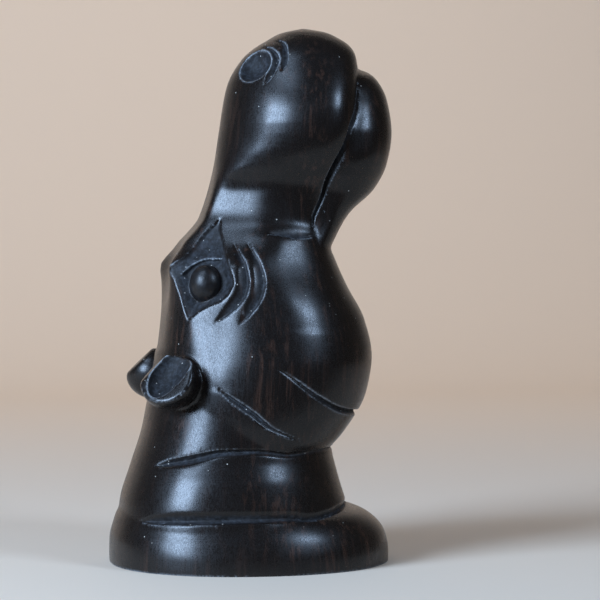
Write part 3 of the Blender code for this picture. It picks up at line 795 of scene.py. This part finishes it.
def ebonyMaterial():
    material = bpy.data.materials.new("waxed ebony")
    material.use_nodes = True
    tree = material.node_tree
    shader = tree.nodes["Principled BSDF"]

    metres = addNode(tree, "TexCoord", output="Object")
    millimetres = addNode(tree, "VectorMath", {0: metres, "Scale": 1000}, operation="SCALE")
    slow = {"Vector": millimetres, "Scale": 1 / ebony["drift"], "Detail": 1}
    drift = addNode(tree, "TexNoise", slow, output="Color")
    sway = addNode(tree, "VectorMath", {0: drift, "Scale": ebony["sway"]}, operation="SCALE")
    wandering = addNode(tree, "VectorMath", {0: millimetres, 1: sway}, operation="ADD")

    value = {"roughness": ebony["roughness"]}
    for name in ("gouged", "edgeWearAndHighlight"):
        value[name] = addNode(tree, "Attribute", output="Fac", attribute_name=name)
    for name, (width, length, lean, detail, roughness) in ebony["grain"].items():
        turn, scale = (0, math.radians(lean), 0), (1 / width, 1 / width, 1 / length)
        along = addNode(tree, "Mapping", {"Vector": wandering, "Rotation": turn, "Scale": scale})
        look = {"Vector": along, "Scale": 1, "Detail": detail, "Roughness": roughness}
        value[name] = addNode(tree, "TexNoise", look)
    for name, (size, detail, roughness) in ebony["marks"].items():
        look = {"Vector": millimetres, "Scale": 1 / size, "Detail": detail, "Roughness": roughness}
        value[name] = addNode(tree, "TexNoise", look)
    specks = addNode(tree, "TexVoronoi", {"Vector": millimetres, "Scale": 1 / ebony["dust spacing"]})
    value["from speck"] = specks
    value["any speck"] = addNode(tree, "SeparateColor", {0: specks.node.outputs["Color"]})
    normal = addNode(tree, "NewGeometry", output="Normal")
    value["upward"] = addNode(tree, "SeparateXYZ", {0: normal}, output="Z")

    for name, (pattern, low, high, start, end) in ebony["shares"].items():
        span = {"Value": value[pattern], "From Min": low, "From Max": high, "To Min": start, "To Max": end}
        value[name] = addNode(tree, "MapRange", span, interpolation_type="SMOOTHSTEP")
    for name, operation, first, second in ebony["sums"]:
        terms = {0: value.get(first, first), 1: value.get(second, second)}
        value[name] = addNode(tree, "Math", terms, operation=operation)

    dull = {"Factor": value["scuffed"], 6: linear(ebony["hollow"]), 7: linear(ebony["scuff"])}
    hollow = addNode(tree, "Mix", dull, output=2, data_type="RGBA")
    colour = linear(ebony["black"])
    # The pale edge layer is partly wear and partly a painted highlight on sharp bends
    layers = {"brown shown": linear(ebony["brown"]), "hollow shown": hollow,
              "edge highlight and wear shown": linear(ebony["edge highlight and wear"]), "speck shown": linear(ebony["dust"])}
    for share, over in layers.items():
        layer = {"Factor": value[share], 6: colour, 7: over}
        colour = addNode(tree, "Mix", layer, output=2, data_type="RGBA")
    tree.links.new(colour, shader.inputs["Base Color"])

    gloss = {"Factor": value["dulled"], 2: value["rubbed"], 3: ebony["hollow roughness"]}
    tree.links.new(addNode(tree, "Mix", gloss), shader.inputs["Roughness"])
    shader.inputs["IOR"].default_value = ebony["ior"]

    relief = 0
    for name, height in ebony["relief"].items():
        raised = addNode(tree, "Math", {0: value[name], 1: height}, operation="MULTIPLY")
        relief = addNode(tree, "Math", {0: relief, 1: raised}, operation="ADD")
    bump = addNode(tree, "Bump", {"Height": relief, "Strength": 1, "Distance": 0.001})
    tree.links.new(bump, shader.inputs["Normal"])
    return material


carving.data.materials.clear()
carving.data.materials.append(ebonyMaterial())
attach(carving, "root")
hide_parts("hippo_head")
print("wood finished")


# Matt paper, plain and pale, lies under the carving and sweeps up behind it. It ends not far in front,
# just outside the camera's view, so that the underside of the muzzle mirrors less of it
stage = {
    "colour": "#e0cfbb", "roughness": 0.8, "half width": 1.6, "front": 0.13, "depth": 1.2, "height": 1.4,
    "bend": 0.5, "bend steps": 24,
}


def backdrop():
    bm = bmesh.new()
    profile = [(-stage["front"], 0), (stage["depth"] - stage["bend"], 0)]
    for k in range(1, stage["bend steps"] + 1):
        turn = math.pi / 2 * k / stage["bend steps"]
        back = stage["depth"] - stage["bend"] * (1 - math.sin(turn))
        profile.append((back, stage["bend"] * (1 - math.cos(turn))))
    profile.append((stage["depth"], stage["height"]))
    sides = (-stage["half width"], stage["half width"])
    left, right = [[bm.verts.new((x, y, z)) for y, z in profile] for x in sides]
    for i in range(len(profile) - 1):
        bm.faces.new((left[i], right[i], right[i + 1], left[i + 1]))
    paper = bpy.data.materials.new("matt paper")
    paper.use_nodes = True
    shader = paper.node_tree.nodes["Principled BSDF"]
    shader.inputs["Base Color"].default_value = linear(stage["colour"])
    shader.inputs["Roughness"].default_value = stage["roughness"]
    sweep = asObject("floor", bm)
    sweep.data.shade_smooth()
    sweep.data.materials.append(paper)
    return sweep


backdrop()
print("floor laid")


# The camera stands level with the muzzle's root, a little towards the face. Lengths are in metres
view = {"distance": 0.7, "yaw": 7.5, "height": 0.093, "aside": 0.0146, "aim": 0.0736, "lens": 148.4}
yaw = math.radians(view["yaw"])
toCamera = Vector((-math.sin(yaw), -math.cos(yaw), 0))
toRight = Vector((math.cos(yaw), -math.sin(yaw), 0))


def placed(name, data, place, aim):
    # Puts a camera or lamp at a place, turned to its aim
    made = bpy.data.objects.new(name, data)
    bpy.context.scene.collection.objects.link(made)
    made.location = place
    made.rotation_euler = (aim - made.location).to_track_quat("-Z", "Y").to_euler()
    return made


lens = bpy.data.cameras.new("camera")
lens.lens = view["lens"]
lens.sensor_width = 36
lens.clip_start = 0.01
standing = toCamera * view["distance"] + Vector((0, 0, view["height"])) + toMiddle
seen = toRight * view["aside"] + Vector((0, 0, view["aim"])) + toMiddle
bpy.context.scene.camera = placed("camera", lens, standing, seen)

# Three soft windows, as seen from the carving: angle to the camera's right, angle above level, how far
# away in metres, and size. A lamp behind the carving lights the backdrop, facing away from the camera
windows = {
    "left window": {"aside": -48, "up": 17, "distance": 0.9, "size": (0.38, 0.38), "power": 16.5},
    "skylight": {"aside": -46, "up": 52, "distance": 0.9, "size": (0.34, 0.24), "power": 2.2},
    "right window": {"aside": 50, "up": 30, "distance": 1.0, "size": (0.28, 0.2), "power": 4.8},
}
daylight = "#bcd8fb"
backLamp = {
    "place": (0, 0.55, 0.8), "aim": (0, 1.15, 0.22), "size": (1.2, 0.3), "power": 3.6, "colour": "#fff0e4",
}
heart = Vector((0, 0, 75 * unit))  # the middle of the carving's height, where the windows aim


def addLamp(name, lamp, place, aim, colour):
    light = bpy.data.lights.new(name, "AREA")
    light.shape = "RECTANGLE"
    light.size, light.size_y = lamp["size"]
    light.energy = lamp["power"]
    light.color = linear(colour)[:3]
    placed(name, light, place, aim)


for name, window in windows.items():
    aside, up = math.radians(window["aside"]), math.radians(window["up"])
    level = toCamera * math.cos(aside) + toRight * math.sin(aside)
    wayOut = level * math.cos(up) + Vector((0, 0, math.sin(up)))
    addLamp(name, window, heart + wayOut * window["distance"], heart, daylight)
addLamp("backdrop lamp", backLamp, Vector(backLamp["place"]), Vector(backLamp["aim"]), backLamp["colour"])

room = {"colour": "#d8c8b8", "strength": 0.13}
world = bpy.data.worlds.new("room")
world.use_nodes = True
sky = world.node_tree.nodes["Background"]
sky.inputs["Color"].default_value = linear(room["colour"])
sky.inputs["Strength"].default_value = room["strength"]
bpy.context.scene.world = world
bpy.context.scene.view_settings.view_transform = "Standard"
print("camera and lamps set")

print("scene ready")
